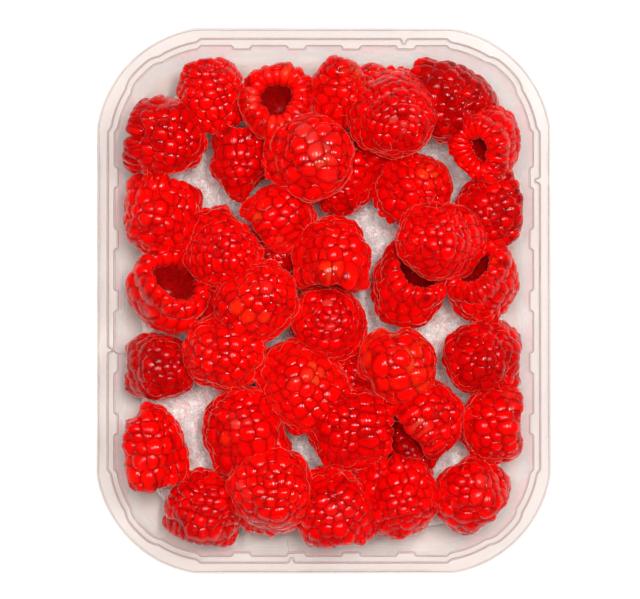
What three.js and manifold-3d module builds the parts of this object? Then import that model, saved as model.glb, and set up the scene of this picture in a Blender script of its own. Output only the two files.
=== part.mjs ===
// A clear ribbed tray of raspberries, with an absorbent pad under the fruit.
// Millimetres, +Z up. The origin is the middle of the tray's underside, and the tray's long
// side runs along Y.

import * as THREE from 'three';
import { mergeVertices } from 'three/addons/utils/BufferGeometryUtils.js';
import Module from 'manifold-3d';

const wasm = await Module();
wasm.setup();

// ---------------------------------------------------------------------------
// Driving dimensions
// ---------------------------------------------------------------------------

// The tray: one thin formed skin, measured over the outer edge of its flange.
const TRAY_WIDTH = 119;
const TRAY_LENGTH = 143;
const TRAY_HEIGHT = 42;
const SKIN = 0.6;

// Its corners are arcs that start a little way in from the straight sides' ends.
const CORNER_CENTRE = 30.6;
const CORNER_RADIUS = 31;
const CORNER_FIRST_ANGLE = 9.5;
const STRAIGHT_END = 27.4;

// Flange, step, shelf, wall and base, from the outer edge inward and down.
const FLANGE_WIDTH = 3.1;
const LIP_DROP = 1.5;
const STEP_DROP = 2.2;
const STEP_LEAN = 0.2;
const SHELF_WIDTH = 1.5;
const WALL_LEAN = 1.0;
const BASE_ROUND = 1.8;

// Upright ribs on the four walls, and the three-part corners between them.
const RIB_DEPTH = 0.9;
const RIB_SLOPE = 0.8;
const SHORT_SIDE_RIBS = { count: 4, pitch: 14.4, flat: 4.4 };
const LONG_SIDE_RIBS = { count: 5, pitch: 16.2, flat: 5.0 };
const RIB_SHARE_AT_FOOT = 0.7;
const CORNER_SINK = 0.9;
const CORNER_ARC_SEGMENTS = 2;
const CORNER_PANEL_FROM = 35;
const CORNER_PANEL_TO = 55;
const CORNER_PANEL_STEP = 2.2;
const CORNER_PANEL_SHARE = 0.2;

// One small stacking notch in the step of each side, by its place along that side.
const NOTCH_DEPTH = 1.2;
const NOTCH_MOUTH = 2.4;
const NOTCH_FLOOR = 1.0;
const NOTCH_PLACES = { right: 31.5, back: -21, left: 13, front: -8.5 };

// The pad on the tray's floor.
const PAD_WIDTH = 98;
const PAD_LENGTH = 121;
const PAD_CORNER = 22;
const PAD_THICKNESS = 2;
const PAD_EDGE_ROUND = 0.6;
const PAD_CORNER_SEGMENTS = 4;

// Clearance between pieces that touch.
const GAP = 0.3;

// The fruit: x and y of the middle, width across, length, the way the tip points seen from
// above (heading, degrees from +X), how far the tip points up (pitch), and how far the berry
// lies above the pad on its neighbours (lift). Those that show their hollow also have a mouth,
// its width as a share of the berry's.
const BERRIES = [
  // back row, left to right
  { x: -42.0, y: 44.3, width: 22.3, length: 23.0, heading: -8, pitch: 10, lift: 1 },
  { x: -30.3, y: 57.2, width: 17.4, length: 20.5, heading: 95, pitch: 30, lift: 4 },
  { x: -12.0, y: 52.2, width: 20.5, length: 20.0, heading: 280, pitch: -74, lift: 2, mouth: 0.46 },
  { x: 4.6, y: 57.5, width: 15.5, length: 20.0, heading: 95, pitch: 40, lift: 8 },
  { x: 18.7, y: 49.3, width: 22.5, length: 23.0, heading: -60, pitch: 60, lift: 9 },
  { x: 35.0, y: 53.6, width: 23.0, length: 24.0, heading: -20, pitch: 15, lift: 0 },
  { x: 45.0, y: 43.8, width: 18.6, length: 18.6, heading: 40, pitch: -51, lift: 4, mouth: 0.38 },
  // second row
  { x: -44.1, y: 22.4, width: 20.8, length: 20.5, heading: 265, pitch: 20, lift: 0 },
  { x: -22.2, y: 36.6, width: 17.3, length: 18.5, heading: 270, pitch: 10, lift: 2 },
  { x: -2.4, y: 39.1, width: 22.8, length: 21.0, heading: 10, pitch: 55, lift: 10 },
  { x: 5.5, y: 32.5, width: 17.5, length: 19.0, heading: 235, pitch: 15, lift: 0 },
  { x: 24.9, y: 31.4, width: 20.0, length: 19.5, heading: 50, pitch: 50, lift: 2 },
  { x: 45.2, y: 24.1, width: 19.8, length: 20.5, heading: 220, pitch: 15, lift: 0 },
  // third row
  { x: -26.0, y: 13.3, width: 21.0, length: 21.0, heading: -35, pitch: 55, lift: 5 },
  { x: -10.7, y: 23.6, width: 18.4, length: 16.8, heading: 37, pitch: 5, lift: 4 },
  { x: 2.5, y: 13.2, width: 20.5, length: 20.0, heading: 85, pitch: -8, lift: 6, mouth: 0.50 },
  { x: 29.9, y: 16.5, width: 21.6, length: 22.3, heading: 180, pitch: 55, lift: 8 },
  { x: -42.2, y: 2.4, width: 21.5, length: 20.0, heading: 231, pitch: -56, lift: 0, mouth: 0.58 },
  { x: -16.7, y: 1.6, width: 20.5, length: 20.5, heading: 41, pitch: 25, lift: 8 },
  { x: 22.5, y: 3.5, width: 20.6, length: 20.5, heading: 240, pitch: -46, lift: 0, mouth: 0.60 },
  { x: 43.4, y: 5.1, width: 20.5, length: 19.8, heading: -54, pitch: -47, lift: 0, mouth: 0.50 },
  // fourth row
  { x: -43.4, y: -17.3, width: 18.6, length: 19.5, heading: 0, pitch: 65, lift: 0 },
  { x: -26.2, y: -13.3, width: 21.5, length: 20.0, heading: 270, pitch: 75, lift: 6 },
  { x: 1.5, y: -5.4, width: 20.5, length: 20.0, heading: 100, pitch: 70, lift: 5 },
  { x: -6.8, y: -20.8, width: 22.5, length: 23.0, heading: 135, pitch: 20, lift: 3 },
  { x: 19.9, y: -16.8, width: 21.0, length: 19.5, heading: 60, pitch: 80, lift: 6 },
  { x: 42.9, y: -15.1, width: 21.5, length: 21.5, heading: 180, pitch: 60, lift: 0 },
  // fifth row
  { x: -46.2, y: -38.0, width: 18.8, length: 22.0, heading: 98, pitch: 12, lift: 4 },
  { x: -21.0, y: -33.1, width: 21.6, length: 21.5, heading: 105, pitch: 20, lift: 2 },
  { x: 6.4, y: -33.7, width: 22.0, length: 22.5, heading: 180, pitch: 15, lift: 1 },
  { x: 29.3, y: -29.8, width: 19.5, length: 16.8, heading: 38, pitch: -5, lift: 3, mouth: 0.50 },
  { x: 45.2, y: -33.3, width: 21.0, length: 19.0, heading: 192, pitch: 8, lift: 0 },
  // front row
  { x: -31.4, y: -54.7, width: 20.5, length: 21.0, heading: 75, pitch: 25, lift: 0 },
  { x: -13.9, y: -49.4, width: 23.0, length: 21.5, heading: 90, pitch: 68, lift: 6 },
  { x: 2.3, y: -54.6, width: 22.6, length: 21.5, heading: 115, pitch: 35, lift: 1 },
  { x: 19.8, y: -53.5, width: 21.5, length: 21.0, heading: 275, pitch: 20, lift: 0 },
  { x: 40.0, y: -51.8, width: 21.0, length: 21.0, heading: 135, pitch: 60, lift: 0 },
  // smaller ones, low between the others
  { x: -25.5, y: -0.8, width: 16.5, length: 17.0, heading: 130, pitch: 30, lift: 0 },
  { x: -14.0, y: 12.0, width: 15.0, length: 16.0, heading: 20, pitch: 20, lift: 0 },
  { x: 10.0, y: -19.5, width: 14.5, length: 16.0, heading: 200, pitch: 25, lift: 0 },
  { x: 14.5, y: 40.0, width: 14.5, length: 15.5, heading: 300, pitch: 30, lift: 0 },
  { x: 22.5, y: -38.5, width: 14.5, length: 15.0, heading: 120, pitch: 25, lift: 0 },
  { x: 13.5, y: 58.0, width: 12.0, length: 14.0, heading: 95, pitch: 25, lift: 3 },
];

// Dents where a drupelet failed to grow: the berry by its number in the list, the place, how
// far round it the dent reaches, and how far the surface moves in towards the berry's middle.
const DENTS = [
  { berry: 0, x: -52.0, y: 45.5, reach: 5.0, depth: 4.2 },
  { berry: 0, x: -40.0, y: 55.0, reach: 3.5, depth: 1.4 },
  { berry: 5, x: 41.2, y: 50.5, reach: 4.5, depth: 3.0 },
  { berry: 8, x: -29.0, y: 31.0, reach: 6.0, depth: 1.6 },
  { berry: 8, x: -15.5, y: 31.0, reach: 6.0, depth: 1.6 },
  { berry: 13, x: -21.5, y: 24.0, reach: 4.0, depth: 1.4 },
  { berry: 25, x: 19.3, y: -6.8, reach: 3.5, depth: 1.8 },
  { berry: 25, x: 11.2, y: -22.2, reach: 3.5, depth: 1.6 },
  { berry: 27, x: -55.0, y: -41.5, reach: 3.5, depth: 1.8 },
  { berry: 27, x: -51.5, y: -29.5, reach: 3.5, depth: 1.6 },
  { berry: 32, x: -40.0, y: -60.5, reach: 3.5, depth: 1.8 },
  { berry: 36, x: 49.5, y: -57.0, reach: 3.5, depth: 1.6 },
  { berry: 36, x: 43.5, y: -61.5, reach: 3.0, depth: 1.4 },
];

// How uneven a berry's outline is, by its number in the list.
const UNEVEN_OVAL = 0.045;
const UNEVEN_LOBES = 0.035;
const GOLDEN_ANGLE = 2.39996;

// A berry's section, as [height above its rim / length, radius / half width], from the bottom
// of its hollow, down and round the rim, and up the outside to the tip. The hollow's radii are
// shares of its mouth.
const HOLLOW = [[0.62, 0], [0.5, 0.5], [0.18, 0.83], [0.03, 1]];
const DIMPLE = [[0.1, 0]];
const OUTSIDE = [[0, 0.72], [0.08, 0.95], [0.3, 1.03], [0.55, 1.02], [0.77, 0.86], [0.93, 0.54], [1, 0]];
const BERRY_SIDES = 10;
const OPEN_BERRY_SIDES = 12;
const SMALL_BERRY_SIDES = 8;
const SMALL_BERRY_WIDTH = 18;
const BUMP = 0.035;

// Bars of the hidden core, which run from berry to berry.
const CORE_RADIUS = 3;
const CORE_SIDES = 4;
const HEART_PAST_HOLLOW = 0.27;
const PRESSED = 0.86;

// Vertices closer than this are one.
const WELD = 1e-4;

const SCREEN_COLOURS = { tray: 0xe6e1da, pad: 0xe9dcd4, fruit: 0xd8150f };

// ---------------------------------------------------------------------------
// Helpers
// ---------------------------------------------------------------------------

const degrees = THREE.MathUtils.degToRad;

// A closed surface of rows that start and end on one axis: a lathe whose points are then
// moved to place(row, column).
function closedRows(rowCount, columnCount, place) {
  const profile = Array.from({ length: rowCount }, (_, row) => {
    const onAxis = row === 0 || row === rowCount - 1;
    return new THREE.Vector2(onAxis ? 0 : 1, row);
  });
  const lathe = new THREE.LatheGeometry(profile, columnCount);
  for (let column = 0; column <= columnCount; column += 1) {
    for (let row = 0; row < rowCount; row += 1) {
      const point = place(row, column % columnCount);
      lathe.attributes.position.setXYZ(column * rowCount + row, point.x, point.y, point.z);
    }
  }
  return welded(lathe);
}

// Shared vertices only, without the empty triangles that the ends on the axis leave.
function welded(geometry) {
  geometry.deleteAttribute('normal');
  geometry.deleteAttribute('uv');
  const merged = mergeVertices(geometry, WELD);
  const corners = merged.index.array;
  const kept = [];
  for (let i = 0; i < corners.length; i += 3) {
    const [a, b, c] = [corners[i], corners[i + 1], corners[i + 2]];
    if (a !== b && b !== c && c !== a) kept.push(a, b, c);
  }
  merged.setIndex(kept);
  return merged;
}

function toSolid(geometry) {
  return new wasm.Manifold(new wasm.Mesh({
    numProp: 3,
    vertProperties: new Float32Array(geometry.attributes.position.array),
    triVerts: new Uint32Array(geometry.index.array),
  }));
}

function toGeometry(solid) {
  const mesh = solid.getMesh();
  const geometry = new THREE.BufferGeometry();
  geometry.setAttribute('position', new THREE.BufferAttribute(mesh.vertProperties, 3));
  geometry.setIndex(new THREE.BufferAttribute(mesh.triVerts, 1));
  geometry.computeVertexNormals();
  return geometry;
}

function part(name, geometry, colour, finish) {
  const mesh = new THREE.Mesh(
    geometry,
    new THREE.MeshStandardMaterial({ color: colour, metalness: 0, ...finish }),
  );
  mesh.name = name;
  return mesh;
}

// ---------------------------------------------------------------------------
// Tray
// ---------------------------------------------------------------------------

// How much of a bump is present at a place: 1 on its flat, falling to 0 over its slopes.
function trapezoid(distance, flat, slope) {
  return THREE.MathUtils.clamp(1 - (Math.abs(distance) - flat / 2) / slope, 0, 1);
}

// Stations along one straight side, in the side's own frame: x is out, y is along.
function sideStations(out, along, ribs, notchPlace) {
  const centres = Array.from(
    { length: ribs.count },
    (_, i) => (i - (ribs.count - 1) / 2) * ribs.pitch,
  );
  const ribEdge = ribs.flat / 2;
  const notchSlope = (NOTCH_MOUTH - NOTCH_FLOOR) / 2;
  const places = [-(along - STRAIGHT_END), along - STRAIGHT_END];
  for (const centre of centres) {
    places.push(centre - ribEdge - RIB_SLOPE, centre - ribEdge);
    places.push(centre + ribEdge, centre + ribEdge + RIB_SLOPE);
  }
  places.push(notchPlace - NOTCH_MOUTH / 2, notchPlace - NOTCH_FLOOR / 2);
  places.push(notchPlace + NOTCH_FLOOR / 2, notchPlace + NOTCH_MOUTH / 2);
  return places.sort((a, b) => a - b).map((place) => ({
    rib: Math.max(...centres.map((c) => trapezoid(place - c, ribs.flat, RIB_SLOPE))),
    notch: trapezoid(place - notchPlace, NOTCH_FLOOR, notchSlope),
    corner: 0,
    at: (inset) => new THREE.Vector2(out - inset, place),
  }));
}

// Stations round the corner that follows a side, in the same frame.
function cornerStations(out, along) {
  const stretches = [
    [CORNER_FIRST_ANGLE, CORNER_PANEL_FROM - CORNER_PANEL_STEP],
    [CORNER_PANEL_FROM, CORNER_PANEL_TO],
    [CORNER_PANEL_TO + CORNER_PANEL_STEP, 90 - CORNER_FIRST_ANGLE],
  ];
  const angles = stretches.flatMap(([from, to]) => Array.from(
    { length: CORNER_ARC_SEGMENTS + 1 },
    (_, i) => THREE.MathUtils.lerp(from, to, i / CORNER_ARC_SEGMENTS),
  ));
  return angles.map((angle) => {
    const inPanel = angle >= CORNER_PANEL_FROM && angle <= CORNER_PANEL_TO;
    const ray = new THREE.Vector2(Math.cos(degrees(angle)), Math.sin(degrees(angle)));
    return {
      rib: 0,
      notch: 0,
      corner: inPanel ? CORNER_PANEL_SHARE : 1,
      at: (inset) => ray.clone().multiplyScalar(CORNER_RADIUS - inset)
        .add(new THREE.Vector2(out - CORNER_CENTRE, along - CORNER_CENTRE)),
    };
  });
}

// All stations round the tray, anticlockwise from the right side.
function trayStations() {
  const halfWidth = TRAY_WIDTH / 2;
  const halfLength = TRAY_LENGTH / 2;
  const sides = [
    { out: halfWidth, along: halfLength, ribs: LONG_SIDE_RIBS, notch: NOTCH_PLACES.right },
    { out: halfLength, along: halfWidth, ribs: SHORT_SIDE_RIBS, notch: NOTCH_PLACES.back },
    { out: halfWidth, along: halfLength, ribs: LONG_SIDE_RIBS, notch: NOTCH_PLACES.left },
    { out: halfLength, along: halfWidth, ribs: SHORT_SIDE_RIBS, notch: NOTCH_PLACES.front },
  ];
  return sides.flatMap((side, quarter) => {
    const stations = [
      ...sideStations(side.out, side.along, side.ribs, side.notch),
      ...cornerStations(side.out, side.along),
    ];
    const turn = quarter * Math.PI / 2;
    const origin = new THREE.Vector2();
    return stations.map((station) => ({
      ...station,
      at: (inset) => station.at(inset).rotateAround(origin, turn),
    }));
  });
}

// Levels of the tray's skin, from the middle of the underside, up the outside, over the
// flange, and down the inside to the middle of the floor.
function trayLevels() {
  const wallTop = FLANGE_WIDTH + STEP_LEAN + SHELF_WIDTH;
  const wallFoot = wallTop + WALL_LEAN;
  const shelf = TRAY_HEIGHT - STEP_DROP;
  const plain = { rib: 0, corner: 0, notch: 0 };
  const stepped = { rib: 0, corner: 1, notch: 1 };
  const ribbed = { rib: 1, corner: 1, notch: 0 };
  const foot = { rib: RIB_SHARE_AT_FOOT, corner: 1, notch: 0 };
  return [
    { z: 0, inset: wallFoot + BASE_ROUND - SKIN, ...foot },
    { z: BASE_ROUND, inset: wallFoot - SKIN, ...foot },
    { z: shelf - SKIN, inset: wallTop - SKIN, ...ribbed },
    { z: shelf - SKIN, inset: FLANGE_WIDTH + STEP_LEAN - SKIN, ...stepped },
    { z: TRAY_HEIGHT - SKIN, inset: FLANGE_WIDTH - SKIN, ...stepped },
    { z: TRAY_HEIGHT - SKIN, inset: SKIN, ...plain },
    { z: TRAY_HEIGHT - LIP_DROP, inset: SKIN, ...plain },
    { z: TRAY_HEIGHT - LIP_DROP, inset: 0, ...plain },
    { z: TRAY_HEIGHT, inset: 0, ...plain },
    { z: TRAY_HEIGHT, inset: FLANGE_WIDTH, ...stepped },
    { z: shelf, inset: FLANGE_WIDTH + STEP_LEAN, ...stepped },
    { z: shelf, inset: wallTop, ...ribbed },
    { z: SKIN + BASE_ROUND, inset: wallFoot, ...foot },
    { z: SKIN, inset: wallFoot + BASE_ROUND, ...foot },
  ];
}

function trayPoint(level, station, gap) {
  const push = RIB_DEPTH * station.rib * level.rib
    + CORNER_SINK * station.corner * level.corner
    + NOTCH_DEPTH * station.notch * level.notch;
  const point = station.at(level.inset + push + gap);
  return new THREE.Vector3(point.x, point.y, level.z);
}

function makeTray() {
  const stations = trayStations();
  const levels = trayLevels();
  const place = (row, column) => {
    if (row === 0) return new THREE.Vector3(0, 0, 0);
    if (row === levels.length + 1) return new THREE.Vector3(0, 0, SKIN);
    return trayPoint(levels[row - 1], stations[column], 0);
  };
  const shape = closedRows(levels.length + 2, stations.length, place);
  shape.computeVertexNormals();
  return part('punnet', shape, SCREEN_COLOURS.tray, {
    roughness: 0.12, transparent: true, opacity: 0.45,
  });
}

// ---------------------------------------------------------------------------
// Pad
// ---------------------------------------------------------------------------

function roundedRectangle(width, length, corner) {
  const x = width / 2 - corner;
  const y = length / 2 - corner;
  const quarter = Math.PI / 2;
  return new THREE.Shape()
    .absarc(x, y, corner, 0, quarter)
    .absarc(-x, y, corner, quarter, 2 * quarter)
    .absarc(-x, -y, corner, 2 * quarter, 3 * quarter)
    .absarc(x, -y, corner, 3 * quarter, 4 * quarter);
}

function makePad() {
  const outline = roundedRectangle(
    PAD_WIDTH - 2 * PAD_EDGE_ROUND,
    PAD_LENGTH - 2 * PAD_EDGE_ROUND,
    PAD_CORNER - PAD_EDGE_ROUND,
  );
  const slab = new THREE.ExtrudeGeometry(outline, {
    depth: PAD_THICKNESS - 2 * PAD_EDGE_ROUND,
    bevelThickness: PAD_EDGE_ROUND,
    bevelSize: PAD_EDGE_ROUND,
    bevelSegments: 1,
    curveSegments: PAD_CORNER_SEGMENTS,
  });
  slab.translate(0, 0, SKIN + GAP + PAD_EDGE_ROUND);
  return part('pad', slab, SCREEN_COLOURS.pad, { roughness: 0.9 });
}

// ---------------------------------------------------------------------------
// Raspberries
// ---------------------------------------------------------------------------

const FRUIT_FLOOR = SKIN + GAP + PAD_THICKNESS + GAP;

// Half the height that a tilted berry takes up.
function halfHeight(berry) {
  const tilt = degrees(berry.pitch);
  return Math.hypot(berry.width * Math.cos(tilt), berry.length * Math.sin(tilt)) / 2;
}

// Each berry at its height above the pad, and the room it takes up sideways.
function settled(berry) {
  const reach = (berry.width + berry.length) / 4;
  return { ...berry, reach, z: FRUIT_FLOOR + halfHeight(berry) + berry.lift };
}

function sidesOf(berry) {
  if (berry.mouth) return OPEN_BERRY_SIDES;
  return berry.width < SMALL_BERRY_WIDTH ? SMALL_BERRY_SIDES : BERRY_SIDES;
}

// Points near a dent's upright axis move towards the berry's middle, most at the axis itself.
function pressDent(shape, berry, dent) {
  const inwards = new THREE.Vector2(berry.x - dent.x, berry.y - dent.y).normalize();
  const points = shape.attributes.position;
  for (let i = 0; i < points.count; i += 1) {
    const away = Math.hypot(points.getX(i) - dent.x, points.getY(i) - dent.y) / dent.reach;
    const move = away < 1 ? dent.depth * (1 - away ** 2) ** 2 : 0;
    points.setX(i, points.getX(i) + inwards.x * move);
    points.setY(i, points.getY(i) + inwards.y * move);
  }
}

function berrySolid(berry, index) {
  const inner = berry.mouth
    ? HOLLOW.map(([height, share]) => [height, share * berry.mouth])
    : DIMPLE;
  const rows = [...inner, ...OUTSIDE];
  const sides = sidesOf(berry);
  const phase = index * GOLDEN_ANGLE;
  const place = (row, column) => {
    const angle = 2 * Math.PI * column / sides;
    const onOutside = row > inner.length && row < rows.length - 1;
    const bump = onOutside ? BUMP * ((row + column) % 2 ? -1 : 1) : 0;
    const uneven = 1 + UNEVEN_OVAL * Math.cos(2 * angle + phase)
      + UNEVEN_LOBES * Math.cos(3 * angle + 2 * phase);
    const radius = rows[row][1] * uneven * (1 + bump) * berry.width / 2;
    const height = (rows[row][0] - 0.5) * berry.length;
    return new THREE.Vector3(radius * Math.cos(angle), radius * Math.sin(angle), height);
  };
  const shape = closedRows(rows.length, sides, place);
  const turn = new THREE.Euler(0, degrees(90 - berry.pitch), degrees(berry.heading), 'ZYX');
  shape.applyMatrix4(new THREE.Matrix4().makeRotationFromEuler(turn));
  shape.translate(berry.x, berry.y, berry.z);
  DENTS.filter((dent) => dent.berry === index).forEach((dent) => pressDent(shape, berry, dent));
  return toSolid(shape);
}

// A point well inside a berry, past the end of its hollow.
function heartOf(berry) {
  const tilt = degrees(berry.pitch);
  const turn = degrees(berry.heading);
  const ahead = berry.mouth ? HEART_PAST_HOLLOW * berry.length : 0;
  return new THREE.Vector3(
    berry.x + ahead * Math.cos(tilt) * Math.cos(turn),
    berry.y + ahead * Math.cos(tilt) * Math.sin(turn),
    berry.z + ahead * Math.sin(tilt),
  );
}

// 1 where two berries just touch, less where they press together.
function apart(a, b) {
  return Math.hypot(a.x - b.x, a.y - b.y, a.z - b.z) / (a.reach + b.reach);
}

function coreBar(from, to) {
  const along = to.clone().sub(from);
  const bar = new THREE.CylinderGeometry(CORE_RADIUS, CORE_RADIUS, along.length(), CORE_SIDES);
  const up = new THREE.Vector3(0, 1, 0);
  bar.applyQuaternion(new THREE.Quaternion().setFromUnitVectors(up, along.normalize()));
  const middle = from.clone().add(to).multiplyScalar(0.5);
  bar.translate(middle.x, middle.y, middle.z);
  return toSolid(welded(bar));
}

// The core: every berry is tied to the heap by a bar to its closest neighbour that already
// is, left out where those two press together anyway.
function coreSolids(berries) {
  const tied = [berries[0]];
  const loose = berries.slice(1);
  const bars = [];
  while (loose.length) {
    const pairs = loose.flatMap((from) => tied.map((to) => ({ from, to, apart: apart(from, to) })));
    const next = pairs.reduce((a, b) => (b.apart < a.apart ? b : a));
    if (next.apart > PRESSED) bars.push(coreBar(heartOf(next.from), heartOf(next.to)));
    loose.splice(loose.indexOf(next.from), 1);
    tied.push(next.from);
  }
  return bars;
}

// The room for the fruit: inside the tray's walls and above the pad.
function fruitRoom() {
  const stations = trayStations();
  const [shelf, foot] = trayLevels().slice(-3, -1);
  const levels = [{ ...foot, z: FRUIT_FLOOR }, shelf];
  const place = (row, column) => {
    if (row === 0) return new THREE.Vector3(0, 0, FRUIT_FLOOR);
    if (row === levels.length + 1) return new THREE.Vector3(0, 0, shelf.z);
    return trayPoint(levels[row - 1], stations[column], GAP);
  };
  return toSolid(closedRows(levels.length + 2, stations.length, place));
}

// The core and all berries fused, and flat where they press on the pad and the walls. Hollows
// that are shut on all sides are filled, and crumbs that are cut off are dropped.
function makeRaspberries() {
  const berries = BERRIES.map(settled);
  const solids = [...berries.map(berrySolid), ...coreSolids(berries)];
  const heap = solids.reduce((joined, solid) => joined.add(solid));
  const pieces = heap.intersect(fruitRoom()).decompose();
  const whole = pieces.reduce((a, b) => (b.volume() > a.volume() ? b : a));
  return part('raspberries', toGeometry(whole), SCREEN_COLOURS.fruit, { roughness: 0.4 });
}

const model = new THREE.Group();
model.add(makeTray(), makePad(), makeRaspberries());

export default model;
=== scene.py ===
# %% [markdown]
# # A punnet of raspberries
#
# A shallow tray of clear formed plastic, an absorbent pad on its floor, and some forty
# raspberries heaped on the pad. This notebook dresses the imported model: the tray gets its
# rounded creases, the pad its embossing, and every berry its drupelets, hollow and hairs.
#
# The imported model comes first. It is a fixed frame: everything that follows is placed in it,
# in metres, and nothing in it moves.

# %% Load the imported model
import math
import random
from collections import namedtuple

import bmesh
import bpy
from mathutils import Euler, Matrix, Vector, noise


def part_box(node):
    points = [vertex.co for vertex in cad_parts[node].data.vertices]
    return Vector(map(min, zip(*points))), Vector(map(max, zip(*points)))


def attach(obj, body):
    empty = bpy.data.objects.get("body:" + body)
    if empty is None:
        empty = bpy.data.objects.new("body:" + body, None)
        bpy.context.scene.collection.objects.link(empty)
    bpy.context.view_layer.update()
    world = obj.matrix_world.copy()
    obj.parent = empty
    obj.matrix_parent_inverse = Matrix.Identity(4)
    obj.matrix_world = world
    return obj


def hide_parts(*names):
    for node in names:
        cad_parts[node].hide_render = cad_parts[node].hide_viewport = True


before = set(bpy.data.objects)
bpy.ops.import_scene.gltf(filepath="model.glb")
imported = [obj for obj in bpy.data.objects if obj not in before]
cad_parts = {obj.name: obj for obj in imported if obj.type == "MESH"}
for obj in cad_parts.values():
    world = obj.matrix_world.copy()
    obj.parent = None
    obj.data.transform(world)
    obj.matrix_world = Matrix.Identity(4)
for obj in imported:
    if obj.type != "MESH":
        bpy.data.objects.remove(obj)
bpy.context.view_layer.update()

# %% [markdown]
# ## The camera
#
# The camera looks down into the tray from a little over a metre above its rim, leaning back by
# less than two degrees. A long lens keeps the rim nearly parallel to the picture's edges. The
# camera is made first, because everything else is judged through it.

# %% Camera
MM = 0.001
EYE = Vector((-13.7, -21.5, 1142.0)) * MM
AIM = Vector((-1.05, 0.26, 42.0)) * MM
LENS = 236.2
CLIP_START = 0.05

camera = bpy.data.objects.new("camera", bpy.data.cameras.new("camera"))
camera.data.lens = LENS
camera.data.clip_start = CLIP_START
camera.location = EYE
forward = (AIM - EYE).normalized()
right = forward.cross(Vector((0, 1, 0))).normalized()
up = right.cross(forward)
camera.rotation_euler = Matrix((right, up, -forward)).transposed().to_euler()
bpy.context.scene.collection.objects.link(camera)
bpy.context.scene.camera = camera
print("camera", round((AIM - EYE).length, 3), "m from the rim")

# %% [markdown]
# ## Floor, lights and colour
#
# The floor is plain and pale. Three slim softboxes, which stand along the tray, give each
# drupelet its group of small highlights. A broad panel overhead fills the furrows, and a
# faintly warm world lights the sides. Both are kept out of reflections, where so wide a light
# would cover the red with a grey veil. The Standard view keeps strong reds pure, where the
# usual filmic view would bend them towards orange.

# %% Floor
FLOOR_SIZE = 3.0
FLOOR_DROP = 0.0003
FLOOR_WHITE = (0.93, 0.93, 0.93, 1)
FLOOR_ROUGHNESS = 0.8


def plain_material(name, colour, roughness):
    material = bpy.data.materials.new(name)
    material.use_nodes = True
    shader = material.node_tree.nodes["Principled BSDF"]
    shader.inputs["Base Color"].default_value = colour
    shader.inputs["Roughness"].default_value = roughness
    return material


floor_bm = bmesh.new()
bmesh.ops.create_grid(floor_bm, x_segments=1, y_segments=1, size=FLOOR_SIZE)
bmesh.ops.translate(floor_bm, vec=(0, 0, -FLOOR_DROP), verts=floor_bm.verts)
floor_mesh = bpy.data.meshes.new("floor")
floor_bm.to_mesh(floor_mesh)
floor_bm.free()
floor_mesh.materials.append(plain_material("floor white", FLOOR_WHITE, FLOOR_ROUGHNESS))
floor = bpy.data.objects.new("floor", floor_mesh)
bpy.context.scene.collection.objects.link(floor)

# %% Lights
AREA_LIGHTS = (
    # name, place in metres, width and height in metres, watts, seen in reflections
    ("softbox right", (0.16, 0.20, 1.25), (0.09, 0.36), 5.8, True),
    ("softbox far right", (0.56, 0.20, 1.12), (0.09, 0.36), 3.8, True),
    ("softbox left", (-0.24, 0.12, 1.28), (0.07, 0.28), 2.2, True),
    ("panel overhead", (0.0, 0.05, 1.45), (0.60, 0.60), 9.5, False),
)
WORLD_STRENGTH = 0.41
WORLD_COLOUR = (1.0, 0.95, 0.93, 1.0)

for name, place, (width, height), watts, reflected in AREA_LIGHTS:
    light = bpy.data.lights.new(name, "AREA")
    light.shape = "RECTANGLE"
    light.size = width
    light.size_y = height
    light.energy = watts
    lamp = bpy.data.objects.new(name, light)
    lamp.location = place
    away = Vector(place).normalized()
    across = Vector((0, 1, 0)).cross(away).normalized()
    lamp.rotation_euler = Matrix((across, away.cross(across), away)).transposed().to_euler()
    lamp.visible_glossy = reflected
    bpy.context.scene.collection.objects.link(lamp)

world = bpy.data.worlds.new("pale room")
world.use_nodes = True
background = world.node_tree.nodes["Background"]
background.inputs["Color"].default_value = WORLD_COLOUR
background.inputs["Strength"].default_value = WORLD_STRENGTH
world.cycles_visibility.glossy = False
bpy.context.scene.world = world
bpy.context.scene.view_settings.view_transform = "Standard"
print("lights", [name for name, *_ in AREA_LIGHTS])

# %% [markdown]
# ## From bmesh to piece
#
# Every piece is modelled in millimetres in a bmesh, where its operators are at hand. One
# helper scales it to metres, turns it into an object at the origin, and ties it to the frame.
# Another closes the seams of a grid or a spun shape that meets itself.

# %% Piece helper
def make_piece(name, bm, materials):
    bmesh.ops.scale(bm, vec=(MM, MM, MM), verts=bm.verts)
    mesh = as_mesh(bm, name)
    mesh.shade_smooth()
    for material in materials:
        mesh.materials.append(material)
    piece = bpy.data.objects.new(name, mesh)
    bpy.context.scene.collection.objects.link(piece)
    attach(piece, "root")
    print(name, len(mesh.vertices), "vertices", len(mesh.polygons), "faces")
    return piece


def as_mesh(bm, name):
    mesh = bpy.data.meshes.new(name)
    bm.to_mesh(mesh)
    bm.free()
    return mesh


def close_seams(bm, reach):
    """Merge the points within reach of one another, and turn all faces outwards."""
    bmesh.ops.remove_doubles(bm, verts=bm.verts, dist=reach)
    bmesh.ops.recalc_face_normals(bm, faces=bm.faces)


def smoothstep(low, high, value):
    share = min(max((value - low) / (high - low), 0.0), 1.0)
    return share * share * (3 - 2 * share)


# %% [markdown]
# ## Materials: small helpers
#
# All materials are made of nodes. These helpers add a node with its settings, and read one of
# the numbers that a mesh carries on its points. An input is linked when it is given another
# node's output, and set when it is given a value.

# %% Node helpers
def set_inputs(tree, node, inputs):
    for key, value in dict(inputs).items():
        if hasattr(value, "is_output"):
            tree.links.new(value, node.inputs[key])
        else:
            node.inputs[key].default_value = value


def add_node(tree, kind, inputs=(), **settings):
    node = tree.nodes.new(kind)
    for key, value in settings.items():
        setattr(node, key, value)
    set_inputs(tree, node, inputs)
    return node


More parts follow.
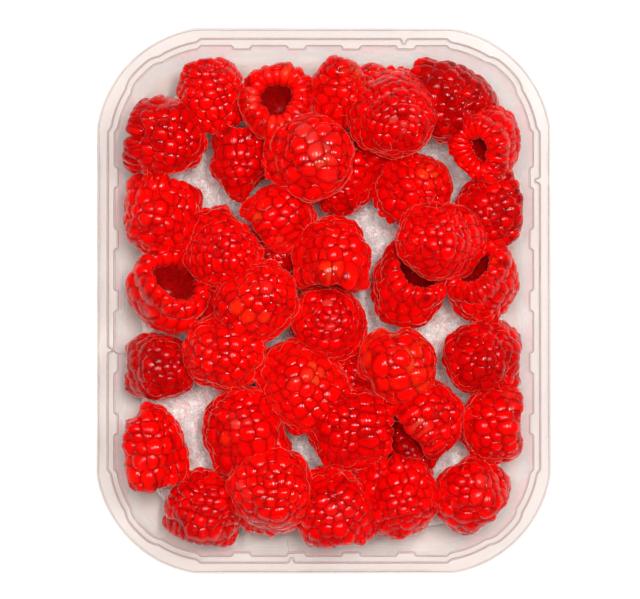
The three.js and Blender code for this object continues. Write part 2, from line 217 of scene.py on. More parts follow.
def point_number(tree, name):
    return add_node(tree, "ShaderNodeAttribute", attribute_name=name).outputs["Fac"]


def calculate(tree, operation, *numbers):
    inputs = enumerate(numbers)
    return add_node(tree, "ShaderNodeMath", inputs, operation=operation).outputs[0]


def ramp(tree, value, stops):
    node = add_node(tree, "ShaderNodeValToRGB", {"Fac": value})
    elements = node.color_ramp.elements
    while len(elements) < len(stops):
        elements.new(0.5)
    for element, (position, colour) in zip(elements, stops):
        element.position = position
        element.color = (*colour, 1)
    return node.outputs["Color"]


def grey_ramp(tree, value, stops):
    return ramp(tree, value, [(position, (grey, grey, grey)) for position, grey in stops])


def mix_colours(tree, factor, first, second):
    inputs = {"Factor": factor, "A": first, "B": second}
    return add_node(tree, "ShaderNodeMix", inputs, data_type="RGBA").outputs["Result"]


def new_material(name):
    material = bpy.data.materials.new(name)
    material.use_nodes = True
    tree = material.node_tree
    return material, tree, tree.nodes["Principled BSDF"]


def object_noise(tree, scale, detail=2.0, roughness=0.5, distortion=0.0):
    return add_node(tree, "ShaderNodeTexNoise", {
        "Vector": add_node(tree, "ShaderNodeTexCoord").outputs["Object"],
        "Scale": scale, "Detail": detail, "Roughness": roughness, "Distortion": distortion,
    }).outputs["Fac"]


def bump_normal(tree, height, strength, distance):
    inputs = {"Height": height, "Strength": strength, "Distance": distance}
    return add_node(tree, "ShaderNodeBump", inputs).outputs["Normal"]


# %% [markdown]
# ## The tray
#
# The tray is formed from one thin sheet of clear plastic, so it is modelled as one sheet: a
# grid whose columns run round the tray and whose rows run from the flange's lip down to the
# middle of the floor. Each row is a level with its height and its inset from the tray's
# outline, and each column a station, which says how much rib, sunk corner or notch there is.
# A Solidify modifier gives the sheet its thickness.
#
# First the measures, in millimetres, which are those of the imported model.

# %% Tray measures
punnet_low, punnet_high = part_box("punnet")
HALF_WIDTH = (punnet_high.x - punnet_low.x) / 2 / MM
HALF_LENGTH = (punnet_high.y - punnet_low.y) / 2 / MM
RIM = punnet_high.z / MM
SHEET = 0.6
CORNER_CENTRE = 30.6
CORNER_RADIUS = 31.0
CORNER_FIRST_ANGLE = 9.5
STRAIGHT_END = 27.4
FLANGE_WIDTH = 3.1
LIP_DROP = 1.5
STEP_DROP = 2.2
STEP_LEAN = 0.2
SHELF_WIDTH = 1.5
WALL_LEAN = 1.0
BASE_ROUND = 1.8
RIB_DEPTH = 0.9
RIB_SLOPE = 0.8
RIB_SHARE_AT_FOOT = 0.7
CORNER_SINK = 0.9
CORNER_PANEL = (35.0, 55.0)
CORNER_PANEL_STEP = 2.2
CORNER_PANEL_SHARE = 0.2
NOTCH_DEPTH = 1.2
NOTCH_MOUTH = 2.4
NOTCH_FLOOR = 1.0
GAP = 0.3
Side = namedtuple("Side", "out along rib_count rib_pitch rib_flat notch")
SIDES = (
    Side(HALF_WIDTH, HALF_LENGTH, 5, 16.2, 5.0, 31.5),
    Side(HALF_LENGTH, HALF_WIDTH, 4, 14.4, 4.4, -21.0),
    Side(HALF_WIDTH, HALF_LENGTH, 5, 16.2, 5.0, 13.0),
    Side(HALF_LENGTH, HALF_WIDTH, 4, 14.4, 4.4, -8.5),
)
print("tray", HALF_WIDTH * 2, HALF_LENGTH * 2, RIM)

# %% [markdown]
# A level is a small vector: height, inset, the shares of rib, sunk corner and notch at that
# height, and how sharp a crease it is. Because it is a vector, a crease between two levels can
# be rounded by blending all six numbers along a Bezier arc at once. A Bevel modifier would
# catch the slopes of the ribs as well.

# %% Levels from lip to floor
WALL_TOP = FLANGE_WIDTH + STEP_LEAN + SHELF_WIDTH
WALL_FOOT = WALL_TOP + WALL_LEAN
SHELF = RIM - STEP_DROP
CREASE = 5
CREASE_ROUND = 0.45
CREASE_STEPS = 4
LONGEST_ARC = 0.45
FLOOR_RINGS = (0.85, 0.7, 0.3)

LEVELS = [
    # height, inset, rib, corner, notch, crease
    Vector((RIM - LIP_DROP, 0.0, 0, 0, 0, 0)),
    Vector((RIM, 0.0, 0, 0, 0, 0.5)),
    Vector((RIM, FLANGE_WIDTH, 0, 1, 1, 2)),
    Vector((SHELF, FLANGE_WIDTH + STEP_LEAN, 0, 1, 1, 1)),
    Vector((SHELF, WALL_TOP, 1, 1, 0, 2)),
    Vector((SHEET + BASE_ROUND, WALL_FOOT, RIB_SHARE_AT_FOOT, 1, 0, 0.5)),
    Vector((SHEET, WALL_FOOT + BASE_ROUND, RIB_SHARE_AT_FOOT, 1, 0, 0)),
]


def rounded(levels, reach, steps):
    """The levels with each crease turned into an arc, up to LONGEST_ARC of the way to the next."""
    path = [levels[0]]
    for before, corner, after in zip(levels, levels[1:], levels[2:]):
        start = corner.lerp(before, min(reach / (corner - before).length, LONGEST_ARC))
        end = corner.lerp(after, min(reach / (corner - after).length, LONGEST_ARC))
        start[CREASE], end[CREASE] = 0, 0
        for i in range(steps + 1):
            t = i / steps
            path.append(start * (1 - t) ** 2 + corner * 2 * t * (1 - t) + end * t ** 2)
    path.append(levels[-1])
    return path


tray_levels = rounded(LEVELS, CREASE_ROUND, CREASE_STEPS)
print("tray levels", len(tray_levels))

# %% [markdown]
# Stations run anticlockwise from the right side, four sides and four corners. A rib or a notch
# has three stations on each slope, so that it swells softly out of the wall.

# %% Stations round the tray
Station = namedtuple("Station", "at rib corner notch")
SLOPE_STATIONS = (0.0, 0.33, 0.67, 1.0)
CORNER_STEPS = 5
PANEL_STEPS = 6


def swell(distance, flat, slope):
    """1 on a bump's flat, falling softly to 0 over its slopes."""
    return 1 - smoothstep(flat / 2, flat / 2 + slope, abs(distance))


def rib_centres(side):
    return [(i - (side.rib_count - 1) / 2) * side.rib_pitch for i in range(side.rib_count)]


def rib_share(side, place):
    return max(swell(place - centre, side.rib_flat, RIB_SLOPE) for centre in rib_centres(side))


def side_stations(side):
    notch_slope = (NOTCH_MOUTH - NOTCH_FLOOR) / 2
    places = [STRAIGHT_END - side.along, side.along - STRAIGHT_END]
    bumps = [(centre, side.rib_flat, RIB_SLOPE) for centre in rib_centres(side)]
    bumps.append((side.notch, NOTCH_FLOOR, notch_slope))
    for centre, flat, slope in bumps:
        for share in SLOPE_STATIONS:
            reach = flat / 2 + slope * share
            places += [centre - reach, centre + reach]
    return [
        Station(
            lambda inset, place=place: Vector((side.out - inset, place)),
            rib_share(side, place), 0.0, swell(place - side.notch, NOTCH_FLOOR, notch_slope),
        )
        for place in sorted(places)
    ]


def spread(start, end, count):
    return [start + (end - start) * i / count for i in range(count + 1)]


def corner_stations(side):
    low, high = CORNER_PANEL
    angles = spread(CORNER_FIRST_ANGLE, low - CORNER_PANEL_STEP, CORNER_STEPS)
    angles += spread(low - CORNER_PANEL_STEP / 2, high + CORNER_PANEL_STEP / 2, PANEL_STEPS)
    angles += spread(high + CORNER_PANEL_STEP, 90 - CORNER_FIRST_ANGLE, CORNER_STEPS)
    stations = []
    for angle in angles:
        ray = Vector((math.cos(math.radians(angle)), math.sin(math.radians(angle))))
        middle = Vector((side.out - CORNER_CENTRE, side.along - CORNER_CENTRE))
        raised = swell(angle - (low + high) / 2, high - low, CORNER_PANEL_STEP)
        sunk = 1 - raised * (1 - CORNER_PANEL_SHARE)
        stations.append(Station(
            lambda inset, ray=ray, middle=middle: middle + ray * (CORNER_RADIUS - inset),
            0.0, sunk, 0.0,
        ))
    return stations


def tray_stations():
    """Each station with the quarter turn of its side."""
    found = []
    for quarter, side in enumerate(SIDES):
        turn = Matrix.Rotation(quarter * math.pi / 2, 2)
        found += [(turn, station) for station in side_stations(side) + corner_stations(side)]
    return found


stations = tray_stations()
print("tray stations", len(stations))

# %% [markdown]
# The sheet itself is a grid from `create_grid`, moved point by point to its level and station.
# Merging doubles closes the seam where the last station meets the first, and the pole in the
# middle of the floor. Each point also keeps how sharp its crease is, for the material.

# %% Tray sheet
MERGE_REACH = 1e-4


def tray_point(level, turn, station):
    height, inset, rib, corner, notch, crease = level
    push = (
        RIB_DEPTH * station.rib * rib
        + CORNER_SINK * station.corner * corner
        + NOTCH_DEPTH * station.notch * notch
    )
    return (turn @ station.at(inset + push)).to_3d() + Vector((0, 0, height))


def grid_place(vertex, columns, rows):
    """A grid vertex's column and row, from where create_grid put it."""
    column = round((vertex.co.x + 1) / 2 * columns)
    row = round((vertex.co.y + 1) / 2 * rows)
    return column, row


def make_tray_sheet():
    bm = bmesh.new()
    columns = len(stations)
    rows = len(tray_levels) + len(FLOOR_RINGS)
    bmesh.ops.create_grid(bm, x_segments=columns, y_segments=rows, size=1)
    crease = bm.verts.layers.float.new("crease")
    for vertex in bm.verts:
        column, row = grid_place(vertex, columns, rows)
        turn, station = stations[column % columns]
        if row < len(tray_levels):
            vertex.co = tray_point(tray_levels[row], turn, station)
            vertex[crease] = tray_levels[row][CREASE]
        else:
            edge = tray_point(tray_levels[-1], turn, station)
            ring = (*FLOOR_RINGS, 0)[row - len(tray_levels)]
            vertex.co = Vector((edge.x * ring, edge.y * ring, edge.z))
    close_seams(bm, MERGE_REACH)
    return bm


tray_sheet = make_tray_sheet()
print("tray sheet", len(tray_sheet.verts), "points")

# %% [markdown]
# Full glass would throw a dark shadow on the fruit. So the sheet's Alpha lets most light
# straight through, and the rest is weakly bent and glossy. A bend in clear plastic throws
# light aside, so the material is darker and less clear at a crease, which draws it as a thin
# dark line. Slow waves bend its reflections, and for shadow rays it is only a faint tint.

# %% Clear plastic
# The warm pink tint is partly the plastic's own and partly painted red light reflected from the
# fruit; the dark colour at a crease is painted shade.
PLASTIC_TINT_AND_SHADE = ((0.55, (0.30, 0.22, 0.185)), (1.0, (0.16, 0.03, 0.03)))
PLASTIC_COVER = ((0.55, 0.36), (1.0, 0.90))
PLASTIC_SHADOW = (0.95, 0.93, 0.92, 1)
WAVE_SCALE = 90.0
WAVE_STRENGTH = 0.25
WAVE_HEIGHT = 0.0006


def make_clear_plastic():
    material, tree, shader = new_material("clear tray plastic")
    crease = point_number(tree, "crease")
    waves = object_noise(tree, WAVE_SCALE, detail=3.0)
    set_inputs(tree, shader, {
        "Base Color": ramp(tree, crease, PLASTIC_TINT_AND_SHADE),
        "Alpha": grey_ramp(tree, crease, PLASTIC_COVER),
        "Normal": bump_normal(tree, waves, WAVE_STRENGTH, WAVE_HEIGHT),
        "Roughness": 0.18,
        "IOR": 1.2,
        "Transmission Weight": 0.75,
    })
    passing = add_node(tree, "ShaderNodeBsdfTransparent", {"Color": PLASTIC_SHADOW})
    shadow = add_node(tree, "ShaderNodeLightPath").outputs["Is Shadow Ray"]
    shaders = {0: shadow, 1: shader.outputs[0], 2: passing.outputs[0]}
    mixed = add_node(tree, "ShaderNodeMixShader", shaders)
    tree.links.new(mixed.outputs[0], tree.nodes["Material Output"].inputs["Surface"])
    return material


# %% [markdown]
# The Solidify modifier thickens the finished sheet away from the fruit, so that the room
# inside stays as large as it was modelled.

# %% The tray
tray = make_piece("clear_tray", tray_sheet, [make_clear_plastic()])
wall = tray.modifiers.new("sheet thickness", "SOLIDIFY")
wall.thickness = SHEET * MM
wall.offset = -1.0
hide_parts("punnet")

# %% [markdown]
# ## The absorbent pad
#
# Under the fruit lies a soft pad of tissue in a thin perforated film, pressed into a pattern
# of small swirls. It lies flat, so it needs no cloth simulation. It is a grid shaped to the
# tray's rounded plan, with a rounded edge, and with the swirls raised by a noise that is
# itself bent by a second noise. The second noise takes its start from the clock unless it is
# given a seed, so it gets one, and the swirls are the same in each run. A bump alone would
# leave the swirls flat in a low light.

# %% Pad
pad_low, pad_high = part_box("pad")
PAD_CORNER = 22.0
PAD_STEP = 0.5
PAD_CROWN = 3.0
SWIRL_SIZE = 2.3
SWIRL_BEND = 1.6
SWIRL_BEND_SCALE = 0.8
SWIRL_SEED = 3
SWIRL_START = Vector((7.3, 1.9, 0))
SWIRL_CRESTS = 9.0
SWIRL_HEIGHT = 0.75
PAD_EDGE = 0.7


def pad_plan(u, v, half_width, half_length):
    """A point of the unit square on a rectangle with round corners, and its depth inside."""
    x, y = u * half_width, v * half_length
    inner_x = max(abs(x) - (half_width - PAD_CORNER), 0.0)
    inner_y = max(abs(y) - (half_length - PAD_CORNER), 0.0)
    reach = math.hypot(inner_x, inner_y)
    if inner_x > 0 and inner_y > 0:
        share = max(inner_x, inner_y) / reach
        x = math.copysign(half_width - PAD_CORNER + inner_x * share, x)
        y = math.copysign(half_length - PAD_CORNER + inner_y * share, y)
        depth = PAD_CORNER - max(inner_x, inner_y)
    else:
        depth = min(half_width - abs(x), half_length - abs(y))
    return x, y, depth


def swirls(x, y):
    """1 along the crests of the curls, 0 in the hollows between them."""
    place = Vector((x, y, 0)) / SWIRL_SIZE
    bent = place + noise.noise_vector(place * SWIRL_BEND_SCALE) * SWIRL_BEND
    wave = noise.noise(bent + SWIRL_START)
    return 0.5 + 0.5 * math.sin(wave * SWIRL_CRESTS)


def make_pad():
    bm = bmesh.new()
    half_width = pad_high.x / MM
    half_length = pad_high.y / MM
    columns = round(2 * half_width / PAD_STEP)
    rows = round(2 * half_length / PAD_STEP)
    bmesh.ops.create_grid(bm, x_segments=columns, y_segments=rows, size=1)
    top = pad_high.z / MM
    bottom = pad_low.z / MM
    relief = bm.verts.layers.float.new("relief")
    for vertex in bm.verts:
        x, y, depth = pad_plan(vertex.co.x, vertex.co.y, half_width, half_length)
        crown = math.sqrt(1 - (1 - min(depth / PAD_CROWN, 1.0)) ** 2)
        vertex[relief] = swirls(x, y)
        sunk = SWIRL_HEIGHT * (vertex[relief] - 1) * crown
        vertex.co = (x, y, bottom + PAD_EDGE + (top - bottom - PAD_EDGE) * crown + sunk)
    base = bmesh.ops.extrude_face_region(bm, geom=bm.faces[:])["geom"]
    for element in base:
        if isinstance(element, bmesh.types.BMVert):
            element.co.z = bottom
    bmesh.ops.recalc_face_normals(bm, faces=bm.faces)
    return bm


noise.seed_set(SWIRL_SEED)
pad_slab = make_pad()
print("pad slab", len(pad_slab.verts), "points")

# %% [markdown]
# The tissue is nearly white on the crests of the swirls and a darker pink in the hollows:
# painted shade, tinted by painted red light reflected from the fruit. So its colour follows
# the number "relief", which each point carries, with a fine mottle added. Curls too small for
# the mesh come from a bump.

# %% Pad tissue
# The first colour, for the hollows, is painted shade and painted reflected red; the second is the
# tissue's own near white.
TISSUE_WHITE_AND_SHADE = ((0.25, (0.88, 0.52, 0.46)), (0.85, (1.0, 0.93, 0.90)))
TISSUE_MOTTLE_SCALE = 700.0
TISSUE_MOTTLE_SHARE = 0.8
CURL_SCALE = 330.0
CURL_CRESTS = 38.0
CURL_STRENGTH = 0.7
CURL_HEIGHT = 0.0003


def make_pad_tissue():
    material, tree, shader = new_material("pad tissue")
    mottle = object_noise(tree, TISSUE_MOTTLE_SCALE, detail=3.0)
    relief = point_number(tree, "relief")
    height = calculate(tree, "MULTIPLY_ADD", mottle, TISSUE_MOTTLE_SHARE, relief)
    curls = object_noise(tree, CURL_SCALE, roughness=0.55, distortion=1.5)
    crests = calculate(tree, "SINE", calculate(tree, "MULTIPLY", curls, CURL_CRESTS))
    set_inputs(tree, shader, {
        "Base Color": ramp(tree, height, TISSUE_WHITE_AND_SHADE),
        "Normal": bump_normal(tree, crests, CURL_STRENGTH, CURL_HEIGHT),
        "Roughness": 0.5,
        "Sheen Weight": 0.2,
    })
    return material


pad = make_piece("tissue_pad", pad_slab, [make_pad_tissue()])
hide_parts("pad")

# %% [markdown]
# ## The berries: where they lie
#
# Each berry has a place, a width, a length, the way its tip points (heading), how far the tip
# points up (pitch), how far it lies above the pad on its neighbours (lift), and how wide the
# mouth of its hollow is, as a share of its own width. These are the imported model's numbers,
# except that there only the berries that show their hollow have a mouth. Here each also gets
# its brightness, from 0 for a dark berry to 1 for a bright one, and the size of its drupelets.
# The dark values of the small berries near the end, which lie low under the others, are partly
# painted shade. A few have a dent, where a drupelet failed to grow: its place, its reach and
# its depth.

# %% Table of berries
Berry = namedtuple("Berry", "x y width length heading pitch lift mouth ripeness drupelet")
BERRIES = [Berry(*row) for row in (
    (-42.0, 44.3, 22.3, 23.0, -8, 10, 1, 0.5, 0.32, 2.7),
    (-30.3, 57.2, 17.4, 20.5, 95, 30, 4, 0.5, 0.55, 2.5),
    (-12.0, 52.2, 20.5, 20.0, 280, -74, 2, 0.46, 0.72, 2.8),
    (4.6, 57.5, 15.5, 20.0, 95, 40, 8, 0.5, 0.62, 2.7),
    (18.7, 49.3, 22.5, 23.0, -60, 60, 9, 0.5, 0.40, 2.6),
    (35.0, 53.6, 23.0, 24.0, -20, 15, 0, 0.5, 0.12, 2.6),
    (45.0, 43.8, 18.6, 18.6, 40, -51, 4, 0.38, 0.55, 2.4),
    (-44.1, 22.4, 20.8, 20.5, 265, 20, 0, 0.5, 0.60, 2.7),
    (-22.2, 36.6, 17.3, 18.5, 270, 10, 2, 0.5, 0.35, 2.5),
    (-2.4, 39.1, 22.8, 21.0, 10, 55, 10, 0.5, 0.62, 3.3),
    (5.5, 32.5, 17.5, 19.0, 235, 15, 0, 0.5, 0.35, 2.6),
    (24.9, 31.4, 20.0, 19.5, 50, 50, 2, 0.5, 0.5, 2.8),
    (45.2, 24.1, 19.8, 20.5, 220, 15, 0, 0.5, 0.25, 2.6),
    (-26.0, 13.3, 21.0, 21.0, -35, 55, 5, 0.5, 0.5, 2.6),
    (-10.7, 23.6, 18.4, 16.8, 37, 5, 4, 0.5, 0.55, 2.7),
    (2.5, 13.2, 20.5, 20.0, 85, -8, 6, 0.5, 0.60, 2.8),
    (29.9, 16.5, 21.6, 22.3, 180, 55, 8, 0.5, 0.5, 2.7),
    (-42.2, 2.4, 21.5, 20.0, 231, -56, 0, 0.58, 0.62, 3.4),
    (-16.7, 1.6, 20.5, 20.5, 41, 25, 8, 0.5, 0.62, 2.7),
    (22.5, 3.5, 20.6, 20.5, 240, -46, 0, 0.60, 0.5, 2.8),
    (43.4, 5.1, 20.5, 19.8, -54, -47, 0, 0.5, 0.55, 2.5),
    (-43.4, -17.3, 18.6, 19.5, 0, 65, 0, 0.5, 0.15, 2.6),
    (-26.2, -13.3, 21.5, 20.0, 270, 75, 6, 0.5, 0.66, 2.7),
    (1.5, -5.4, 20.5, 20.0, 100, 70, 5, 0.5, 0.40, 2.6),
    (-6.8, -20.8, 22.5, 23.0, 135, 20, 3, 0.5, 0.65, 2.9),
    (19.9, -16.8, 21.0, 19.5, 60, 80, 6, 0.5, 0.76, 3.4),
    (42.9, -15.1, 21.5, 21.5, 180, 60, 0, 0.5, 0.28, 2.5),
    (-46.2, -38.0, 18.8, 22.0, 98, 12, 4, 0.5, 0.62, 2.8),
    (-21.0, -33.1, 21.6, 21.5, 105, 20, 2, 0.5, 0.45, 2.9),
    (6.4, -33.7, 22.0, 22.5, 180, 15, 1, 0.5, 0.38, 2.6),
    (29.3, -29.8, 19.5, 16.8, 38, -5, 3, 0.5, 0.5, 2.8),
    (45.2, -33.3, 21.0, 19.0, 192, 8, 0, 0.5, 0.5, 2.7),
    (-31.4, -54.7, 20.5, 21.0, 75, 25, 0, 0.5, 0.35, 2.7),
    (-13.9, -49.4, 23.0, 21.5, 90, 68, 6, 0.5, 0.64, 3.0),
    (2.3, -54.6, 22.6, 21.5, 115, 35, 1, 0.5, 0.45, 2.8),
    (19.8, -53.5, 21.5, 21.0, 275, 20, 0, 0.5, 0.45, 2.6),
    (40.0, -51.8, 21.0, 21.0, 135, 60, 0, 0.5, 0.5, 3.0),
    # From here on, small berries that lie low under the others; their dark values are partly
    # painted shade.
    (-25.5, -0.8, 16.5, 17.0, 130, 30, 0, 0.5, 0.30, 2.7),
    (-14.0, 12.0, 15.0, 16.0, 20, 20, 0, 0.5, 0.20, 2.6),
    (10.0, -19.5, 14.5, 16.0, 200, 25, 0, 0.5, 0.25, 2.6),
    (14.5, 40.0, 14.5, 15.5, 300, 30, 0, 0.5, 0.30, 2.6),
    (22.5, -38.5, 14.5, 15.0, 120, 25, 0, 0.5, 0.05, 2.6),
    (13.5, 58.0, 12.0, 14.0, 95, 25, 3, 0.5, 0.60, 2.6),
)]
Dent = namedtuple("Dent", "berry x y reach depth")
DENTS = [Dent(*row) for row in (
    (0, -52.0, 45.5, 5.0, 4.2),
    (0, -40.0, 55.0, 3.5, 1.4),
    (5, 41.2, 50.5, 4.5, 3.0),
    (8, -29.0, 31.0, 6.0, 1.6),
    (8, -15.5, 31.0, 6.0, 1.6),
    (13, -21.5, 24.0, 4.0, 1.4),
    (25, 19.3, -6.8, 3.5, 1.8),
    (25, 11.2, -22.2, 3.5, 1.6),
    (27, -55.0, -41.5, 3.5, 1.8),
    (27, -51.5, -29.5, 3.5, 1.6),
    (32, -40.0, -60.5, 3.5, 1.8),
    (36, 49.5, -57.0, 3.5, 1.6),
    (36, 43.5, -61.5, 3.0, 1.4),
)]
print("berries", len(BERRIES), "dents", len(DENTS))

# %% [markdown]
# A real berry isn't quite round, so its outline is a little oval and a little three-lobed.
# From here on a berry is built upright in a frame of its own, with its axis up the z axis, and
# its placement sets it in the tray.

# %% Placement of a berry
UNEVEN_OVAL = 0.045
UNEVEN_LOBES = 0.035
GOLDEN_ANGLE = 2.39996
FRUIT_FLOOR = pad_high.z / MM + GAP


def berry_placement(berry):
    """The berry's own frame, its axis from rim to tip, set in the punnet."""
    tilt = math.radians(berry.pitch)
    half_height = math.hypot(berry.width * math.cos(tilt), berry.length * math.sin(tilt)) / 2
    turn = Euler((0, math.radians(90 - berry.pitch), math.radians(berry.heading)))
    middle = Vector((berry.x, berry.y, FRUIT_FLOOR + half_height + berry.lift))
    return Matrix.Translation(middle) @ turn.to_matrix().to_4x4()


def unevenness(angle, phase):
    oval = UNEVEN_OVAL * math.cos(2 * angle + phase)
    return 1 + oval + UNEVEN_LOBES * math.cos(3 * angle + 2 * phase)


print("fruit lies from", round(FRUIT_FLOOR, 2), "mm up")

# %% [markdown]
# Berries that lie against the tray press flat on it. The room for the fruit is the inside of
# the tray above the pad. A drupelet that would reach outside it is moved back whole, so that
# it stays round, and the hidden thimble under the drupelets keeps a little further away. The
# same step settles the berry's other unevenness: soft lumps all over, from a noise, and the
# dents of the table.

# %% The room for the fruit
LUMP_SIZE = 7.5
LUMP_HEIGHT = 1.3
LUMP_SHIFT = 3.7
THIMBLE_INSET = 1.35


def wall_inset(height):
    """How far the plain inner wall stands in from the outline at a height."""
    up = (height - SHEET - BASE_ROUND) / (SHELF - SHEET - BASE_ROUND)
    return WALL_FOOT - WALL_LEAN * min(max(up, 0.0), 1.0)


def kept_in_room(point, spare=0.0):
    """The point, or where it comes to lie if it was nearer to a wall than the spare room."""
    x, y, z = point
    z = max(z, FRUIT_FLOOR + spare)
    inset = wall_inset(z) + GAP + spare
    middle_x = HALF_WIDTH - CORNER_CENTRE
    middle_y = HALF_LENGTH - CORNER_CENTRE
    out_x, out_y = abs(x) - middle_x, abs(y) - middle_y
    if out_x > 0 and out_y > 0:
        limit = CORNER_RADIUS - inset - CORNER_SINK
        reach = math.hypot(out_x, out_y)
        if reach > limit:
            x = math.copysign(middle_x + out_x * limit / reach, x)
            y = math.copysign(middle_y + out_y * limit / reach, y)
    limit_x = HALF_WIDTH - inset - RIB_DEPTH * rib_share(SIDES[0], y)
    limit_y = HALF_LENGTH - inset - RIB_DEPTH * rib_share(SIDES[1], x)
    return Vector((max(-limit_x, min(limit_x, x)), max(-limit_y, min(limit_y, y)), z))


def lumpy(point, index):
    """A point of an even berry, moved in or out by the lumps of this one."""
    swelling = noise.noise(point / LUMP_SIZE + Vector((LUMP_SHIFT * index, 0, 0)))
    return point + point.normalized() * swelling * LUMP_HEIGHT


def distance_share(point, spot):
    """How far the point is from a spot of a table, seen from above, as a share of its reach."""
    return math.hypot(point.x - spot.x, point.y - spot.y) / spot.reach


def dented(point, dent):
    away = distance_share(point, dent)
    if away >= 1:
        return point
    inwards = Vector((BERRIES[dent.berry].x - dent.x, BERRIES[dent.berry].y - dent.y, 0))
    return point + inwards.normalized() * dent.depth * (1 - away ** 2) ** 2


def settled(point, index, placement):
    """A point of the even berry's own frame, where it lies in the punnet."""
    point = placement @ lumpy(point, index)
    for dent in DENTS:
        if dent.berry == index:
            point = dented(point, dent)
    return point


def settle_thimble(points, index, placement):
    for vertex in points:
        vertex.co = kept_in_room(settled(vertex.co, index, placement), THIMBLE_INSET)


def settle_bead(points, index, placement):
    """Move a whole bead in by as much as its worst point lies outside, so that it stays round."""
    move = Vector((0, 0, 0))
    for vertex in points:
        vertex.co = settled(vertex.co, index, placement)
        inwards = kept_in_room(vertex.co) - vertex.co
        for axis in range(3):
            if abs(inwards[axis]) > abs(move[axis]):
                move[axis] = inwards[axis]
    for vertex in points:
        vertex.co = kept_in_room(vertex.co + move)


print("wall inset at the fruit's floor", round(wall_inset(FRUIT_FLOOR), 2), "mm")

# %% [markdown]
# ## One drupelet
#
# A raspberry is a cluster of drupelets, small juicy beads packed round a hollow. One bead is a
# ball from `create_icosphere` with its hidden underside sliced off by `bisect_plane`. It has
# only a few dozen faces, because it is repeated thousands of times. Each of its points
# carries the number "dome": 1 on the crown, 0 at its widest.

# %% Drupelet
BEAD_CUT = -0.30


def make_bead_mesh():
    bm = bmesh.new()
    bmesh.ops.create_icosphere(bm, subdivisions=2, radius=1)
    cut = bmesh.ops.bisect_plane(
        bm, geom=bm.verts[:] + bm.edges[:] + bm.faces[:],
        plane_co=(0, 0, BEAD_CUT), plane_no=(0, 0, -1), clear_outer=True,
    )
    rim = [e for e in cut["geom_cut"] if isinstance(e, bmesh.types.BMEdge)]
    bmesh.ops.edgeloop_fill(bm, edges=rim)
    bmesh.ops.recalc_face_normals(bm, faces=bm.faces)
    dome = bm.verts.layers.float.new("dome")
    for vertex in bm.verts:
        vertex[dome] = vertex.co.z
    return as_mesh(bm, "bead")


bead_mesh = make_bead_mesh()
BEAD_POINTS = len(bead_mesh.vertices)
print("bead", BEAD_POINTS, "vertices", len(bead_mesh.polygons), "faces")

# %% [markdown]
# ## Whorls of drupelets
#
# The beads sit in whorls, rings round the berry's axis, from its shoulder to the tip. The
# outline of a berry is a short list of heights and radii, as shares of its length and half
# width. Walking along it gives the whorls, their drupelets a little longer near the rim. The
# rim itself is a thick lip of narrow drupelets that stand side by side like the segments of an
# orange, and reach from the shoulder to the mouth of the hollow.

# %% Outline and whorls
OUTLINE = (
    # height above the rim / length, radius / half width
    (0.17, 0.99), (0.35, 1.03), (0.55, 1.02), (0.77, 0.86), (0.93, 0.54), (1.0, 0.0),
)
HOLLOW = (
    # height above the rim / length, radius / the mouth's
    (0.62, 0.0), (0.58, 0.35), (0.45, 0.62), (0.3, 0.8), (0.18, 0.92), (0.1, 1.02),
)
LIP_CREST = 0.94
LIP_HEIGHT = 2.7
LIP_SPAN = 0.58
LIP_NARROWNESS = 0.7
BEAD_HEIGHT = 1.95
BEAD_OVERLAP = 1.6
DRUPELET_SCALE = 1.24
WHORL_SPACING = 0.93
FEWEST_WHORLS = 5
CROWDING = 0.84
WALK_STEP = 0.25
SMOOTHING_REACH = 1.4
Whorl = namedtuple("Whorl", "radius height out up long tall")


def drupelet_width(berry):
    return berry.drupelet * DRUPELET_SCALE


def outline_walk(berry):
    """Points along the berry's outline, WALK_STEP apart, as (radius, height)."""
    corners = [
        Vector((share * berry.width / 2, (height - 0.5) * berry.length))
        for height, share in OUTLINE
    ]
    walk = []
    for start, end in zip(corners, corners[1:]):
        steps = max(round((end - start).length / WALK_STEP), 1)
        walk += [start.lerp(end, i / steps) for i in range(steps)]
    return walk + [corners[-1]]


def whorls_of(berry):
    walk = outline_walk(berry)
    last = len(walk) - 1
    reach = round(SMOOTHING_REACH / WALK_STEP)
    wanted = last * WALK_STEP / (drupelet_width(berry) * WHORL_SPACING)
    count = max(round(wanted), FEWEST_WHORLS)
    places = [last * (i / count) ** CROWDING for i in range(count + 1)]
    whorls = []
    for i, place in enumerate(places):
        middle = round(place)
        before = walk[max(middle - reach, 0)]
        after = walk[min(middle + reach, last)]
        near = walk[max(middle - reach, 0):middle + reach + 1]
        point = sum(near, Vector((0, 0))) / len(near)
        along = (after - before).normalized()
        spacing = (places[min(i + 1, count)] - places[max(i - 1, 0)]) / 2
        if i == 0:
            point = walk[0]
        if i == count:
            point, along = walk[-1], Vector((-1, 0))
        if i in (0, count):
            spacing = spacing * 2
        long = spacing * WALK_STEP
        whorls.append(Whorl(point.x, point.y, along.y, -along.x, long, BEAD_HEIGHT))
    return whorls


def lip_of(berry):
    """The whorl of the lip, whose long beads face out of the hollow's mouth."""
    crest = (LIP_CREST + berry.mouth) / 2 * berry.width / 2
    long = (1 - berry.mouth) * berry.width / 2 / BEAD_OVERLAP
    return Whorl(crest, -berry.length / 2, 0.0, -1.0, 2 * LIP_SPAN * long, LIP_HEIGHT)


print("whorls of the first berry", len(whorls_of(BERRIES[0])))

# %% [markdown]
# ## A whole berry
#
# Under the beads lies a thimble, spun from the outline a bead's depth further in, with the
# hollow that the berry leaves when it is picked. The number "flesh" marks it, and "streak"
# the pale fibres that run up the hollow from its mouth. The beads are then laid on it, whorl
# by whorl, each turned to face outwards, with some difference in size from one to the next.

# %% Beads of one berry
THIMBLE_SIDES = 48
STREAK_HEIGHT = 0.35
STREAK_FADE = (0.2, 1.0)
SIZE_SPREAD = 0.18
LIP_EVENNESS = 0.4
BEAD_STRAY = 0.17
LEAST_WIDTH = 0.8
MOST_WIDTH = 1.2


